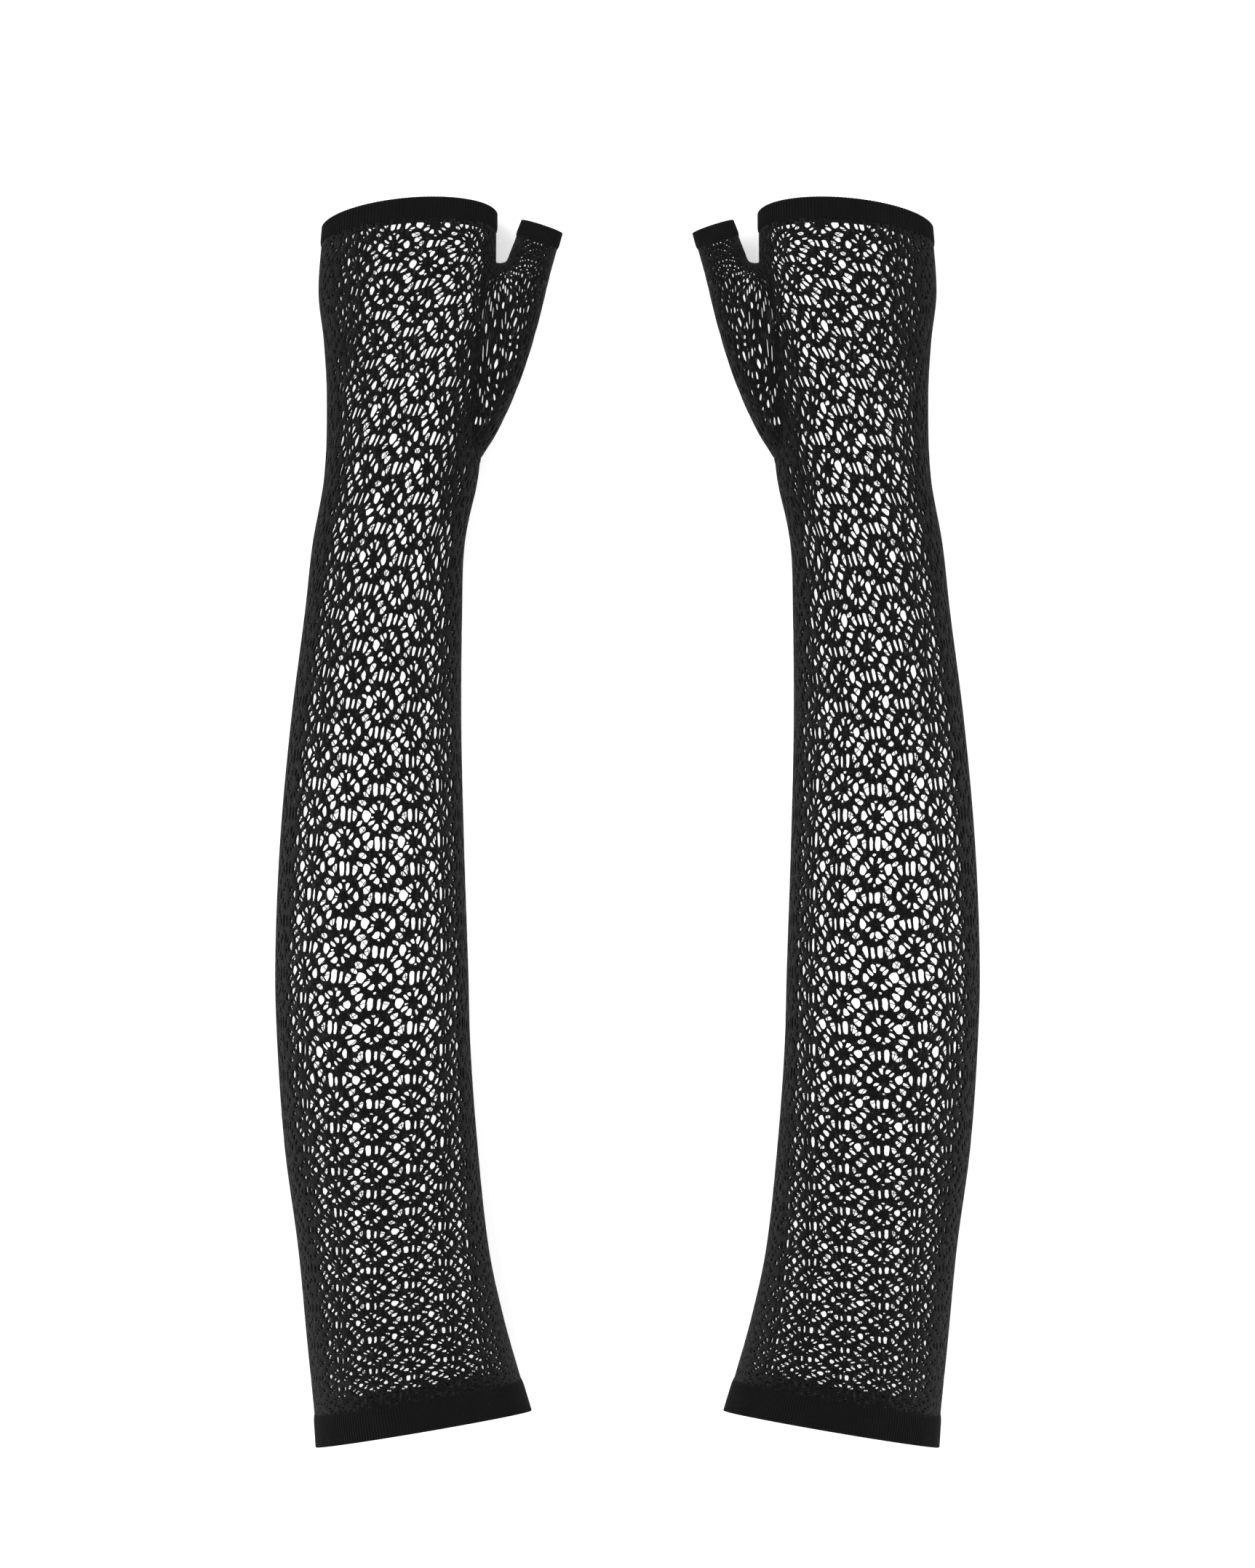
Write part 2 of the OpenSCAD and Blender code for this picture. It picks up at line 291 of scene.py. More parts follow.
# --------------------------------------------- where the wheels sit on the arm
# Height of each row of the middle column along the arm, mm
ROW_Y = np.array([
    [-16, -254], [-15, -246.0], [-14, -237.5], [-13, -228.2], [-12, -217.0], [-11, -203.3], [-10, -189.8], [-9, -175.1],
    [-8, -159.5], [-7, -142.4], [-6, -123.8], [-5, -104.6], [-4, -84.5], [-3, -63.5], [-2, -41.6], [-1, -19.7],
    [0, 2.3], [1, 25.7], [2, 48.5], [3, 72.2], [4, 95.6], [5, 120.6], [6, 145.0], [7, 169.0],
    [8, 192.0], [9, 212.5], [10, 230.8], [11, 245.9], [12, 260.0], [13, 274.0]])
# Middles of wheels on the front of the left glove: column, row, then across and along in mm
WHEELS = np.array([
    [0,5,-88.95,121.35],[0,4,-93.75,95.55],[0,3,-97.95,72.15],[0,2,-100.65,48.45],[0,1,-101.55,25.65],[0,0,-101.1,2.25],
    [0,-1,-100.35,-19.65],[0,-2,-100.35,-41.55],[0,-3,-101.85,-63.45],[0,-4,-103.95,-84.45],[0,-5,-104.25,-104.55],
    [0,-6,-104.1,-123.75],[0,-7,-104.1,-142.35],[0,-8,-104.7,-159.45],[0,-9,-104.7,-175.05],[0,-10,-104.85,-189.75],
    [0,-11,-104.4,-203.25],[0,-12,-103.95,-217.05],[0,-13,-103.05,-228.15],
    [-1,-0.5,-115.35,-7.35],[-1,-1.5,-115.8,-29.55],[-1,-2.5,-117.15,-52.05],[-1,-3.5,-120.15,-73.05],
    [-1,-4.5,-121.05,-93.75],[-1,-5.5,-119.55,-115.05],[-1,-6.5,-119.85,-133.05],[-1,-7.5,-118.95,-150.15],
    [-1,-8.5,-118.05,-166.65],[-1,-9.5,-117.45,-181.35],[-1,1.5,-114.15,37.05],[-1,2.5,-112.8,60.75],
    [-1,3.5,-109.35,83.85],[-1,4.5,-103.95,108.15],[-1,5.5,-97.95,133.05],[-1,6.5,-91.05,159.0],[-1,7.5,-85.65,181.65],
    [-1,8.5,-76.05,206.25],[-1,9.5,-68.55,225.75],[-1,10.5,-63.45,237.75],
    [1,-0.5,-86.85,-7.35],[1,-1.5,-85.35,-29.55],[1,-2.5,-85.5,-52.05],[1,-3.5,-86.25,-73.05],[1,-4.5,-87.6,-93.75],
    [1,-5.5,-87.45,-114.45],[1,-6.5,-87.45,-131.55],[1,-7.5,-87.45,-149.25],[1,-8.5,-88.05,-165.75],
    [1,-9.5,-88.35,-181.05],[1,-10.5,-88.35,-194.55],[1,-11.5,-88.35,-207.75],[1,-12.5,-88.35,-219.45],
    [1,-13.5,-88.35,-230.55],[1,1.5,-89.25,36.75],[1,2.5,-87.15,58.65],[1,3.5,-84.6,80.55],
    [-2,1,-126.75,28.35],[-2,2,-124.95,50.85],[-2,3,-122.85,74.25],[-2,4,-118.65,98.25],[-2,5,-114.15,121.35],
    [-2,6,-108.75,145.35],[-2,7,-100.05,169.05],[-2,8,-92.55,192.15],[-2,9,-88.05,211.65],[-2,10,-82.05,230.25],
    [-2,11,-79.05,245.25],[-2,0,-128.25,4.95],[-2,-1,-129.27,-18.3],[-2,-2,-130.35,-39.33],[-2,-3,-132.45,-60.45],
    [-2,-4,-133.35,-80.55],[-3,8.5,-104.4,198.15],[-3,9.5,-100.65,217.65],[-3,10.5,-97.05,236.85],
    [2,0,-76.35,4.35],[2,-1,-75.45,-17.85],[2,-2,-74.97,-39.33],[2,-3,-74.55,-59.85],[2,-4,-74.55,-81.0],
    [2,-6,-73.65,-119.85],[2,-7,-74.64,-139.05],[2,-8,-75.15,-155.55],[2,-9,-75.6,-171.15],[2,-10,-74.64,-185.25],
    [2,-11,-74.25,-199.95]])


def step(v, a, b):
    t = np.clip((v - a)/(b - a), 0, 1)
    return t*t*(3 - 2*t)


def unplace(x, y):
    """Angle and distance along the sleeve of a point seen from above."""
    v = y.copy()
    for _ in range(12):
        a = hermite(SLEEVE, v, 2)/2
        s = np.clip((x - hermite(SLEEVE, v, 1))/a, -0.98, 0.98)
        v = y - hermite(SLEEVE, v, 4)*a*s - hermite(SLEEVE, v, 5)*np.sqrt(1 - s*s)
    return np.arcsin(s), v


W_TH, W_Y = unplace(WHEELS[:, 2], WHEELS[:, 3])
STEP = 2*np.pi/16


def turn_of(r):
    """How far the columns have turned round the arm at row r."""
    w = np.exp(-((np.asarray(r)[..., None] - WHEELS[:, 1])/0.9)**2/2)
    return (w*(W_TH - STEP*WHEELS[:, 0])).sum(-1)/w.sum(-1)


TURN_R = np.linspace(-13.5, 10.7, 120)
TURN = np.stack([TURN_R, turn_of(TURN_R)], -1)


def base_place(k, r):
    return STEP*k + np.interp(r, TURN[:, 0], TURN[:, 1]), hermite(ROW_Y, r, 1)


B_TH, B_Y = base_place(WHEELS[:, 0], WHEELS[:, 1])
RES = np.stack([W_TH - B_TH, W_Y - B_Y], -1)


def place(k, r):
    """(angle, along) of a point of the lace at column k, row r."""
    # above the elbow the wheels stand taller and lean back against the turn of the columns
    up = step(hermite(ROW_Y, r, 1), -15, 70)
    lean = np.cos(np.pi*k)*np.sin(2*np.pi*r)
    k = k - up*0.030*lean
    r = r + up*0.022*lean
    th, y = base_place(k, r)
    out = np.zeros((len(k), 2))
    for a in range(0, len(k), 20000):
        kk, rr = k[a:a + 20000, None], r[a:a + 20000, None]
        w = np.exp(-((kk - WHEELS[:, 0])**2 + (rr - WHEELS[:, 1])**2)/(2*0.55**2))
        out[a:a + 20000] = (w @ RES)/(w.sum(1) + 0.12)[:, None]
    return th + out[:, 0], y + out[:, 1]


def openness(th, y):
    """How open the lace is, (across, along), at an angle and place on the arm."""
    th = (th + np.pi) % (2*np.pi) - np.pi
    fx, fy = 0.95 + 0*th, 0.95 + 0*th
    # drawn in below the elbow, and more so at the hem
    low = 1 - step(y, -165, -55)
    hem = 1 - step(y, -246, -170)
    fx, fy = fx*(1 - 0.19*low)*(1 - 0.22*hem), fy*(1 - 0.16*low)*(1 - 0.18*hem)
    # and from the middle of the forearm to the knuckles
    fore = step(y, 0, 60)
    hand = step(y, 160, 200)
    fx, fy = fx*(1 - 0.14*fore)*(1 - 0.05*hand), fy*(1 - 0.04*fore)*(1 - 0.06*hand)
    edge = step(y, 236, 246)
    fx, fy = fx*(1 + 0.10*edge), fy*(1 + 0.16*edge)
    # closings that don't add up: the relaxed sides of the arm, the wrist and palm
    # drawn in towards the thumb, the cloth by the thumb opening, the edge of the palm
    lean = np.abs(np.where(th > 0, th - math.radians(8), th))
    sides = step(lean, math.radians(47), math.radians(64))*(1 - 0.6*step(lean, math.radians(100), math.radians(150)))
    sides = sides*(1 - 0.65*step(th, 0.5, 0.8)*step(y, 150, 176)*(1 - step(y, 226, 240)))
    wrist = step(y, 108, 150)*(1 - step(y, 188, 214))
    shift = math.radians(18)*step(y, 180, 222)
    side = step(th - shift, math.radians(24), math.radians(44))*step(-th, math.radians(-150), math.radians(-118))
    p = ((th - np.pi/2)/(WIN_HALF*1.28))**2 + ((y - (WIN_LO + WIN_HI)/2)/((WIN_HI - WIN_LO)/2*1.2))**2
    near = 1 - step(p, 0.85, 1.5)
    palm = step(y, 172, 200)*step(-th, math.radians(14), math.radians(38))*(1 - step(-th, math.radians(80), math.radians(110)))
    shut = np.max([0.42*sides, 0.42*wrist*side, 0.08*near, 0.36*palm], axis=0)
    shut_y = np.max([0.0*sides, 0.06*wrist*side, 0.04*near, 0.16*palm], axis=0)
    return fx*(1 - shut), fy*(1 - shut_y)


def shell_mesh(name, side, tris, outer, inner, knit, threads=None):
    """A closed cloth: an outer face, an inner face, and walls round every opening."""
    used = np.unique(tris)
    back = np.full(len(outer), -1)
    back[used] = np.arange(len(used))
    T = back[tris]
    P, Q, K = outer[used], inner[used], knit[used]
    n = len(used)
    e = np.concatenate([T[:, [0, 1]], T[:, [1, 2]], T[:, [2, 0]]])
    key = np.sort(e, 1)
    _, first, count = np.unique(key[:, 0].astype(np.int64)*n + key[:, 1], return_index=True, return_counts=True)
    edge = e[first[count == 1]]
    walls = np.stack([edge[:, 1], edge[:, 0], edge[:, 0] + n, edge[:, 1] + n], -1)
    co = np.concatenate([P, Q])
    loops = np.concatenate([T.ravel(), (T[:, ::-1] + n).ravel(), walls.ravel()])
    sizes = np.concatenate([np.full(2*len(T), 3), np.full(len(walls), 4)])
    K = np.concatenate([K, K])
    if threads is not None and len(threads[0]):
        q, k = threads[0].reshape(-1, 3), threads[1].reshape(-1, 3)
        box = np.array([[0, 3, 2, 1], [4, 5, 6, 7], [0, 1, 5, 4], [1, 2, 6, 5], [2, 3, 7, 6], [3, 0, 4, 7]])
        f = box[None] + 8*np.arange(len(q)//8)[:, None, None] + len(co)
        co, K = np.concatenate([co, q]), np.concatenate([K, k])
        loops = np.concatenate([loops, f.ravel()])
        sizes = np.concatenate([sizes, np.full(6*(len(q)//8), 4)])
    return make_mesh(name, side, co, loops, sizes, K)


def make_mesh(name, side, co, loops, sizes, knit):
    """side 1 is the left glove, -1 its mirror."""
    co = co.copy()
    starts = np.concatenate([[0], np.cumsum(sizes)[:-1]]).astype(np.int64)
    loops = loops.astype(np.int64)
    if side < 0:
        co[:, 0] *= -1
        ends = starts + sizes
        pos = np.arange(len(loops))
        face = np.repeat(np.arange(len(sizes)), sizes)
        loops = loops[ends[face] - 1 - (pos - starts[face])]
    me = bpy.data.meshes.new(name)
    me.vertices.add(len(co))
    me.vertices.foreach_set("co", (co*MM).astype(np.float32).ravel())
    me.loops.add(len(loops))
    me.loops.foreach_set("vertex_index", loops.astype(np.int32))
    me.polygons.add(len(sizes))
    me.polygons.foreach_set("loop_start", starts.astype(np.int32))
    me.polygons.foreach_set("loop_total", sizes.astype(np.int32))
    me.update(calc_edges=True)
    me.validate()
    me.polygons.foreach_set("use_smooth", np.ones(len(me.polygons), bool))
    at = me.attributes.new("knit", "FLOAT_VECTOR", "POINT")
    at.data.foreach_set("vector", knit.astype(np.float32).ravel())
    me.update()
    ob = bpy.data.objects.new(name, me)
    bpy.context.scene.collection.objects.link(ob)
    return ob


# ------------------------------------------------------------------ materials
def knit_material(name, rib):
    m = bpy.data.materials.new(name)
    m.use_nodes = True
    nt = m.node_tree
    N, L = nt.nodes, nt.links
    N.clear()

    def node(kind, **kw):
        n = N.new(kind)
        for k, v in kw.items():
            setattr(n, k, v)
        return n

    def math_(op, a, b=None, c=None):
        n = node("ShaderNodeMath", operation=op)
        for i, v in enumerate((a, b, c)):
            if v is None:
                continue
            if isinstance(v, (int, float)):
                n.inputs[i].default_value = v
            else:
                L.new(v, n.inputs[i])
        return n.outputs[0]

    out = node("ShaderNodeOutputMaterial")
    bsdf = node("ShaderNodeBsdfPrincipled")
    L.new(bsdf.outputs[0], out.inputs[0])
    at = node("ShaderNodeAttribute", attribute_name="knit")
    sep = node("ShaderNodeSeparateXYZ")
    L.new(at.outputs["Vector"], sep.inputs[0])
    u, v = sep.outputs[0], sep.outputs[1]
    # wales run along v, one stitch 1.2 mm wide and 1 mm tall, drawn as leaning legs
    wale = math_("PINGPONG", u, 0.6)
    leg = math_("SINE", math_("MULTIPLY", math_("ADD", v, math_("MULTIPLY", wale, 1.1)), 2*math.pi/(0.8 if rib else 1.0)))
    leg = math_("MULTIPLY_ADD", leg, 0.5, 0.5)
    ridge = math_("MULTIPLY", wale, 1/0.6)
    ridge = math_("POWER", math_("SINE", math_("MULTIPLY", ridge, math.pi)), 0.6)
    big = node("ShaderNodeTexNoise")
    big.inputs["Scale"].default_value = 0.11
    big.inputs["Detail"].default_value = 3
    L.new(at.outputs["Vector"], big.inputs["Vector"])
    fuzz = node("ShaderNodeTexNoise")
    fuzz.inputs["Scale"].default_value = 5.0
    fuzz.inputs["Detail"].default_value = 4
    fuzz.inputs["Roughness"].default_value = 0.7
    L.new(at.outputs["Vector"], fuzz.inputs["Vector"])
    fleck = node("ShaderNodeTexNoise")
    fleck.inputs["Scale"].default_value = 1.6
    fleck.inputs["Detail"].default_value = 2
    L.new(at.outputs["Vector"], fleck.inputs["Vector"])
    stretch = node("ShaderNodeVectorMath", operation="MULTIPLY")
    stretch.inputs[1].default_value = (1.0, 0.30, 1.0)
    L.new(at.outputs["Vector"], stretch.inputs[0])
    streak_bump_and_sheen = node("ShaderNodeTexNoise")
    streak_bump_and_sheen.inputs["Scale"].default_value = 0.95
    streak_bump_and_sheen.inputs["Detail"].default_value = 2
    streak_bump_and_sheen.inputs["Roughness"].default_value = 0.6
    L.new(stretch.outputs[0], streak_bump_and_sheen.inputs["Vector"])
    height = math_("MULTIPLY", leg, ridge)
    height = math_("ADD", math_("MULTIPLY", height, 0.8), math_("MULTIPLY", fuzz.outputs[0], 0.7))
    if not rib:
        height = math_("MULTIPLY_ADD", streak_bump_and_sheen.outputs[0], 2.4, height)
    # colour: near black yarn, its loose fibres paler, with painted highlight where the stitch legs stand raised
    fac = math_("ADD", math_("MULTIPLY", leg, 0.30), math_("MULTIPLY", fuzz.outputs[0], 0.55))
    fac = math_("MULTIPLY_ADD", big.outputs[0], 0.35, math_("SUBTRACT", fac, 0.22))
    # painted highlight: pale streaks along the wales lighten the lace's colour for the sheen of its yarn; the same
    # streaks also shape its bump
    if not rib:
        fac = math_("MULTIPLY_ADD", math_("SUBTRACT", streak_bump_and_sheen.outputs[0], 0.5), 1.5, fac)
    ramp = node("ShaderNodeValToRGB")
    ramp.color_ramp.elements[0].position = 0.12
    ramp.color_ramp.elements[0].color = (0.0014, 0.0014, 0.0015, 1) if not rib else (0.0014, 0.0014, 0.0015, 1)
    ramp.color_ramp.elements[1].position = 0.95
    ramp.color_ramp.elements[1].color = (0.056, 0.056, 0.057, 1) if not rib else (0.028, 0.028, 0.029, 1)
    e = ramp.color_ramp.elements.new(0.55)
    e.color = (0.0044, 0.0044, 0.0047, 1) if not rib else (0.0048, 0.0048, 0.0051, 1)
    L.new(fac, ramp.inputs[0])
    L.new(ramp.outputs[0], bsdf.inputs["Base Color"])
    rough = math_("MULTIPLY_ADD", fleck.outputs[0], 0.25, 0.68)
    L.new(rough, bsdf.inputs["Roughness"])
    bump = node("ShaderNodeBump")
    bump.inputs["Strength"].default_value = 0.75
    bump.inputs["Distance"].default_value = 0.00045
    L.new(height, bump.inputs["Height"])
    L.new(bump.outputs[0], bsdf.inputs["Normal"])
    bsdf.inputs["Specular IOR Level"].default_value = 0.09
    bsdf.inputs["Sheen Weight"].default_value = 0.035
    bsdf.inputs["Sheen Roughness"].default_value = 0.45
    return m


LACE_MAT = knit_material("black_lace_knit", False)
RIB_MAT = knit_material("black_rib_knit", True)


def stage_material(name, color, glow):
    m = bpy.data.materials.new(name)
    m.use_nodes = True
    b = m.node_tree.nodes["Principled BSDF"]
    b.inputs["Base Color"].default_value = (*color, 1)
    b.inputs["Roughness"].default_value = 0.9
    b.inputs["Specular IOR Level"].default_value = 0.1
    b.inputs["Emission Color"].default_value = (1, 1, 1, 1)
    b.inputs["Emission Strength"].default_value = glow
    return m


FLOOR_MAT = stage_material("pale_floor", (0.93, 0.93, 0.93), 0.42)
# the card glows (emission 0.8) though it is no lamp: painted light that lifts the lace's shadow on it to white
GLOWING_CARD_MAT = stage_material("glowing_white_card", (0.92, 0.92, 0.92), 0.8)

# --------------------------------------------------------------- the sleeves
OUT, IN, MID = 0.55, -0.35, 0.75     # cloth faces about its middle, which lies MID inside the CAD's outer face


def on_surface(F, u, v, eu, ev, off, least):
    P = F(u, v) + normals(F, u, v, eu, ev)*off
    P[:, 2] = np.maximum(P[:, 2], least)
    return P


def pattern(mid, d, hole, f):
    return mid + d*f[hole]


def build_sleeve():
    rows = (-16, 13)
    mid, dh, dc, hole, T = LACE.spread(8, rows)
    mid = mid - np.array([8.0, 0])
    nh = hole.max() + 1
    first = np.searchsorted(hole, np.arange(nh))
    cm = mid[first]
    cth, cy = place(cm[:, 0], cm[:, 1])
    fx, fy = openness(cth, cy)
    jit = 1 + 0.09*rng.standard_normal((nh, 2))
    f = np.stack([fx, fy], -1)*np.clip(jit, 0.78, 1.16)
    wob = 0.010*rng.standard_normal((nh, 2))
    h, c = pattern(mid, dh, hole, f) + wob[hole], pattern(mid, dc, hole, f) + wob[hole]
    hth, hy = place(h[:, 0], h[:, 1])
    rough = 0.0045*rng.standard_normal(h.shape)
    h, c = h + rough, c + rough*0.5
    hth, hy = place(h[:, 0], h[:, 1])
    cth2, cy2 = place(c[:, 0], c[:, 1])

    def F(u, v):
        # the cloth is drawn out a little where the gusset leaves the wrist
        P = sleeve(u, v, MID)
        P[..., 0] += 0.35*np.exp(-((v - 140)/9)**2)*step(np.sin(u), 0.55, 1.0)
        return P
    outer = on_surface(F, cth2, cy2, 0.02, 0.8, OUT, 0.12)
    inner = on_surface(F, hth, hy, 0.02, 0.8, IN, 0.75)
    knit = np.stack([cth2*38, cy2, 0*cy2], -1)
    tc = cth2[T]
    tc = np.where(tc - tc[:, :1] > np.pi, tc - 2*np.pi, tc)
    tc = np.where(tc - tc[:, :1] < -np.pi, tc + 2*np.pi, tc)
    mth, my = tc.mean(1), cy2[T].mean(1)
    # the row that a triangle belongs to, for the cuts between pieces
    row = c[T][:, :, 1].mean(1)
    keep = (my > FIRST + HEM_H - 4.5) & (my < LAST - KNUCKLE_H + 3.5)
    g = (mth + np.pi) % (2*np.pi) - np.pi
    gy = (my - (WIN_LO + WIN_HI)/2)/((WIN_HI - WIN_LO)/2)
    gx = (g - np.pi/2)/WIN_HALF
    g2 = (g + 3*np.pi/2)/WIN_HALF
    gx = np.where(np.abs(gx) < np.abs(g2), gx, g2)
    keep &= np.abs(gx)**2.67 + np.abs(gy)**2.67 > 0.93
    T, my, row = T[keep], my[keep], row[keep]

    # the fine threads, as thin bars let into the strands at both ends
    kinds = len(CELL)
    of = np.arange(nh) % len(LACE.holes)
    ends, rr = [], []
    for kind, a, b in THREADS:
        for half in (0, 1):
            sel = np.nonzero(of == kind + half*kinds)[0]
            sel = sel[rng.random(len(sel)) < 0.72]
            m = LACE.mid[kind + half*kinds] - np.array([PX*half, PY/2*half])
            pair = []
            for x, y in (a, b):
                d = (np.array([x + 0.078*y, -y]) - m)/np.array([PX, PY])*1.10
                pair.append(cm[sel] + d*f[sel])
            ends.append(np.stack(pair, 1))
            rr.append(cm[sel][:, 1])
    ends, rr = np.concatenate(ends), np.concatenate(rr)
    eth, ey = place(ends[..., 0].ravel(), ends[..., 1].ravel())
    okay = ((ey.reshape(-1, 2) > FIRST + HEM_H - 2) & (ey.reshape(-1, 2) < LAST - KNUCKLE_H + 2)).all(1)
    g = (eth.reshape(-1, 2)[:, 0] + np.pi) % (2*np.pi) - np.pi
    gy = (ey.reshape(-1, 2)[:, 0] - (WIN_LO + WIN_HI)/2)/((WIN_HI - WIN_LO)/2)
    okay &= np.abs((g - np.pi/2)/WIN_HALF)**2.67 + np.abs(gy)**2.67 > 1.0
    nrm = normals(F, eth, ey, 0.02, 0.8).reshape(-1, 2, 3)
    P = F(eth, ey).reshape(-1, 2, 3)
    lift = 0.12*rng.standard_normal(len(P))
    P = P + nrm*(0.05 + lift)[:, None, None]
    along = P[:, 1] - P[:, 0]
    length = np.linalg.norm(along, axis=1)
    okay &= (length > 0.4) & (length < 6)
    along /= np.maximum(length, 1e-6)[:, None]
    across = np.cross(nrm[:, 0], along)
    w, t = 0.125, 0.12
    ring = []
    for e in (0, 1):
        for u, v in ((-w, -t), (w, -t), (w, t), (-w, t)):
            ring.append(P[:, e] + across*u + nrm[:, e]*v)
    bars = np.stack(ring, 1)
    bars[..., 2] = np.maximum(bars[..., 2], 0.2)
    kn = np.stack([eth.reshape(-1, 2)[:, 0]*38, ey.reshape(-1, 2)[:, 0], 0*rr], -1)
    kn = np.repeat(kn[:, None], 8, 1)
    return T, row, outer, inner, knit, bars[okay], kn[okay], rr[okay]


T_ALL, ROW, OUTER, INNER, KNIT, BARS, BAR_K, BAR_ROW = build_sleeve()
LOW_CUT = float(np.interp(ELBOW_HI + 4, ROW_Y[:, 1], ROW_Y[:, 0]))
HIGH_CUT = float(np.interp(WRIST_LO - 4, ROW_Y[:, 1], ROW_Y[:, 0]))


def build_thumb():
    """The gusset and the thumb tube: the same lace, drawn nearly shut."""
    blocks, rows = 3, (-1, 7)
    mid, dh, dc, hole, T = LACE.spread(blocks, rows)
    nh = hole.max() + 1
    first = np.searchsorted(hole, np.arange(nh))
    cm = mid[first]
    R0, R1, R2 = 0.0, 4.0, 5.5

    def spot(p):
        f = 2*np.pi*p[:, 0]/(2*blocks) + 0.3
        t = np.interp(p[:, 1], [-1, R0, R1, R2, 7.5], [-1.0, 0, 1, 1.75, 2.6])
        return f, t
    cf, ct = spot(cm)
    front = np.sin(cf)
    fx = 0.56 - 0.20*step(ct, 0.15, 0.8) + 0.02*step(ct, 0.9, 1.2)
    fy = 0.50 + 0.32*step(ct, 0.1, 0.5) - 0.40*step(ct, 0.8, 1.1)
    inner_side = step(-np.cos(cf), 0.55, 0.85)
    fx, fy = fx*(1 - 0.7*inner_side), fy*(1 - 0.7*inner_side)
    jit = np.clip(1 + 0.12*rng.standard_normal((nh, 2)), 0.7, 1.3)
    f = np.stack([fx, fy], -1)*jit
    h, c = pattern(mid, dh, hole, f), pattern(mid, dc, hole, f)
    hf, ht = spot(h)
    gf, gt = spot(c)

    def F(u, v):
        return gusset(u, v, MID)
    lift = 0.35*(1 - step(gt, -0.1, 0.25))
    # the angle runs the other way round the thumb than round the arm
    n = -normals(F, gf, gt, 0.02, 0.01)
    m = -normals(F, hf, ht, 0.02, 0.01)
    mid3 = F(gf, gt)
    flip = np.where(((mid3 - np.array([-50, 215, 18]))*n).sum(-1).mean() < 0, -1, 1)
    outer = mid3 + n*flip*(OUT + lift)[:, None]
    inner = F(hf, ht) + m*flip*(IN + 0.35*(1 - step(ht, -0.1, 0.25)))[:, None]
    outer[:, 2], inner[:, 2] = np.maximum(outer[:, 2], 0.12), np.maximum(inner[:, 2], 0.75)
    knit = np.stack([gf*9.5, gt*30 + 160, 0*gt], -1)
    tm = gt[T].mean(1)
    keep = (tm > -0.30) & (tm < 1 + (THUMB_LEN - THUMB_BAND + 3)/THUMB_LEN)
    T = T[keep]
    # outward faces
    a, b, c3 = outer[T[:, 0]], outer[T[:, 1]], outer[T[:, 2]]
    fn = np.cross(b - a, c3 - a)
    if (fn*(n*flip)[T[:, 0]]).sum() < 0:
        T = T[:, ::-1]
    return T, outer, inner, knit


T_THUMB, TH_OUT, TH_IN, TH_KNIT = build_thumb()


def build_band(F, v0, v1, ribs, per, up, soft):
    """A ribbed band from v0 to v1 of surface F(angle, along). up is 1 where angle then along make an outward turn,
    and soft says which end runs into the lace: -1 for v0, 1 for v1."""
    n = ribs*per
    ang = 2*np.pi*np.arange(n)/n
    rows = 9
    prof = []
    for i in range(rows):                       # outer face
        prof.append((i/(rows - 1), 1.0))
    prof += [(1.012, 0.55), (1.012, 0.1), (1.0, -0.45)]
    for i in range(1, 4):                       # inner face
        prof.append((1 - i/4, -0.6))
    prof += [(0.0, -0.45), (-0.012, 0.1), (-0.012, 0.55)]
    co, kn = [], []
    ripple = (0.5 - 0.5*np.cos(2*np.pi*np.arange(n)/per))**0.8
    for t, o in prof:
        v = v0 + (v1 - v0)*t
        P = F(ang, np.full(n, v))
        e = 0.02
        a = F(ang + e, np.full(n, v)) - F(ang - e, np.full(n, v))
        b = F(ang, np.full(n, v + 0.3*np.sign(v1 - v0))) - F(ang, np.full(n, v - 0.3*np.sign(v1 - v0)))
        nn = np.cross(a, b)*up
        nn /= np.linalg.norm(nn, axis=1, keepdims=True)
        swell = 1 + 0.0*t
        off = (0.80*swell)*o + (0.42*ripple if o > 0.5 else 0) - (0.34*np.clip(1 - t/0.18, 0, 1) if soft < 0 else 0.34*np.clip(1 - (1 - t)/0.18, 0, 1))*(o > 0.5)
        Q = P + nn*(off if np.ndim(off) else np.full(n, off))[:, None]
        Q[:, 2] = np.maximum(Q[:, 2], 0.1 if o > 0 else 1.0)
        co.append(Q)
        kn.append(np.stack([np.arange(n)/per*1.2, np.full(n, (v - v0)), np.zeros(n)], -1))
    m = len(prof)
    co, kn = np.concatenate(co), np.concatenate(kn)
    i, j = np.meshgrid(np.arange(m), np.arange(n), indexing="ij")
    q = np.stack([i*n + j, i*n + (j + 1) % n, ((i + 1) % m)*n + (j + 1) % n, ((i + 1) % m)*n + j], -1).reshape(-1, 4)
    a, b, c = co[q[:, 0]], co[q[:, 1]], co[q[:, 2]]
    vol = (a*np.cross(b, c)).sum() + (a*np.cross(c, co[q[:, 3]])).sum()
    if vol < 0:
        q = q[:, ::-1]
    return co, q, kn


def band(name, side, parts):
    co, q, kn = parts
    return make_mesh(name, side, co, q.ravel(), np.full(len(q), 4), kn)


def grid(name, side, F, u, v):
    U, V = np.meshgrid(u, v, indexing="xy")
    co = F(U.ravel(), V.ravel())
    n, m = len(u), len(v)
    i, j = np.meshgrid(np.arange(m - 1), np.arange(n - 1), indexing="ij")
    q = np.stack([i*n + j, i*n + j + 1, (i + 1)*n + j + 1, (i + 1)*n + j], -1).reshape(-1, 4)
    return make_mesh(name, side, co, q.ravel(), np.full(len(q), 4), co)


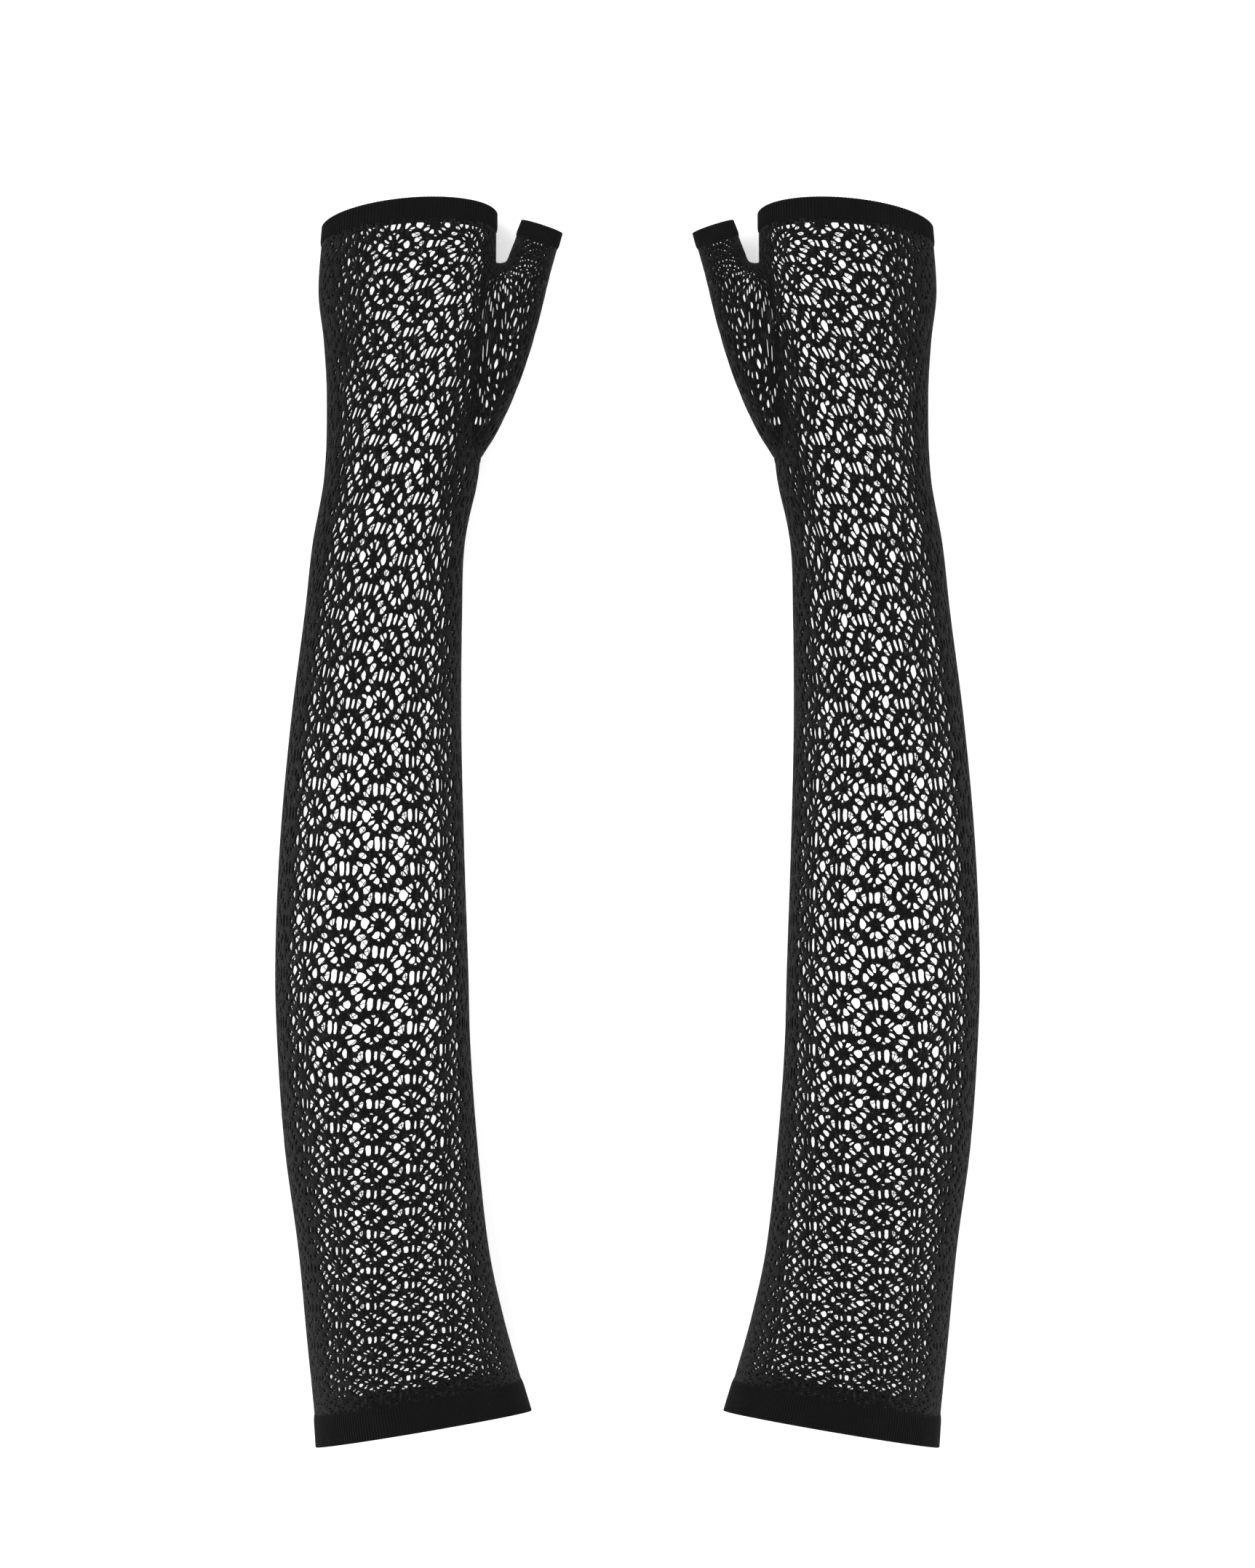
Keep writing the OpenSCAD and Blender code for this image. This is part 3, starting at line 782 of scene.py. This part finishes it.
HEM = build_band(lambda a, v: sleeve(a, v, 0.9), FIRST, FIRST + HEM_H, 216, 6, 1, 1)
KNUCKLE = build_band(lambda a, v: sleeve(a, v, 0.9), LAST - KNUCKLE_H, LAST, 150, 6, 1, -1)
THUMB_RIB = build_band(lambda a, v: thumb(v, a, 0.9), 0.0, THUMB_BAND, 46, 6, 1, 1)

B = frame["bodies"]
for side, s in ((1, "left"), (-1, "right")):
    fore, upper, hand, thumb_b = f"{s}_forearm", f"{s}_upper_arm", f"{s}_hand", f"{s}_thumb"

    def part(name, lo, hi):
        mine, bars = (ROW >= lo) & (ROW < hi), (BAR_ROW >= lo) & (BAR_ROW < hi)
        return shell_mesh(name, side, T_ALL[mine], OUTER, INNER, KNIT, (BARS[bars], BAR_K[bars]))

    lowm = part(f"{s}_upper_arm_sleeve", -99, LOW_CUT)
    midm = part(f"{s}_forearm_sleeve", LOW_CUT, HIGH_CUT)
    topm = part(f"{s}_hand_sleeve", HIGH_CUT, 99)
    thm = shell_mesh(f"{s}_thumb_sleeve", side, T_THUMB, TH_OUT, TH_IN, TH_KNIT)
    hem = band(f"{s}_hem_rib", side, HEM)
    knu = band(f"{s}_knuckle_rib", side, KNUCKLE)
    thr = band(f"{s}_thumb_rib", side, THUMB_RIB)
    for o in (lowm, midm, topm, thm):
        o.data.materials.append(LACE_MAT)
    for o in (hem, knu, thr):
        o.data.materials.append(RIB_MAT)
    for o in (lowm, midm, topm, thm):
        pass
    for o in (hem, knu, thr):
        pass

    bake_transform(lowm)
    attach(midm, fore)
    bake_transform(topm)
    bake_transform(thm)
    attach(hem, upper)
    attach(knu, hand)
    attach(thr, thumb_b)
    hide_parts(f"{s}_upper_arm_lace", f"{s}_elbow_knit")
    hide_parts(f"{s}_forearm_lace")
    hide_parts(f"{s}_wrist_knit", f"{s}_hand_lace")
    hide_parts(f"{s}_thumb_gusset", f"{s}_thumb_lace")
    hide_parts(f"{s}_hem_band")
    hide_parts(f"{s}_knuckle_band")
    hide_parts(f"{s}_thumb_band")

    # the white card inside, part of the setting: it shows the lace off
    u = np.radians(np.linspace(-74, 82, 50))
    form = lambda a, v: sleeve(a, v, 3.2)
    parts = [
        (f"{s}_card_upper_arm", np.linspace(-232, -90, 50), (fore, upper, ELBOW_HI, ELBOW_LO)),
        (f"{s}_card_forearm", np.linspace(-92, 89, 50), None),
        (f"{s}_card_hand", np.linspace(87, 240, 60), (fore, hand, WRIST_LO, WRIST_HI))]
    for name, vs, bend in parts:
        o = grid(name, side, form, u, vs)
        o.data.materials.append(GLOWING_CARD_MAT)
        if bend:
            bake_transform(o)
        else:
            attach(o, fore)
    o = grid(f"{s}_card_thumb", side, lambda a, t: gusset(a, t, 3.0), np.radians(np.linspace(25, 150, 26)), np.linspace(0.02, 1.6, 30))
    o.data.materials.append(GLOWING_CARD_MAT)
    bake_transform(o)

# ------------------------------------------------------------------- setting
me = bpy.data.meshes.new("floor")
me.from_pydata([(-6, -6, -0.0002), (6, -6, -0.0002), (6, 6, -0.0002), (-6, 6, -0.0002)], [], [(0, 1, 2, 3)])
floor = bpy.data.objects.new("floor", me)
bpy.context.scene.collection.objects.link(floor)
floor.data.materials.append(FLOOR_MAT)

scene = bpy.context.scene
world = bpy.data.worlds.new("studio")
scene.world = world
world.use_nodes = True
world.node_tree.nodes["Background"].inputs[0].default_value = (1, 1, 1, 1)
world.node_tree.nodes["Background"].inputs[1].default_value = 0.95


def area_light(name, at, aim, size, power):
    d = bpy.data.lights.new(name, "AREA")
    d.size, d.energy = size, power
    d.shape = "SQUARE"
    o = bpy.data.objects.new(name, d)
    scene.collection.objects.link(o)
    o.location = at
    from mathutils import Vector
    o.rotation_euler = (Vector(aim) - Vector(at)).to_track_quat("-Z", "Y").to_euler()
    return o


area_light("key", (-1.2, 1.0, 1.9), (0, 0, 0), 1.4, 26)
area_light("fill", (1.5, -0.6, 1.6), (0, 0, 0), 1.6, 12)

cam = bpy.data.cameras.new("camera")
cam.sensor_fit = "VERTICAL"
cam.sensor_height = 24
cam.sensor_width = 24*1725/2156
cam.lens = 24*2500/646.8
cam.clip_start, cam.clip_end = 0.05, 20
camera = bpy.data.objects.new("camera", cam)
scene.collection.objects.link(camera)
camera.location = (0, 0.01545, 2.5 + 0.036)
camera.rotation_euler = (0, 0, 0)
scene.camera = camera
scene.view_settings.view_transform = "Standard"
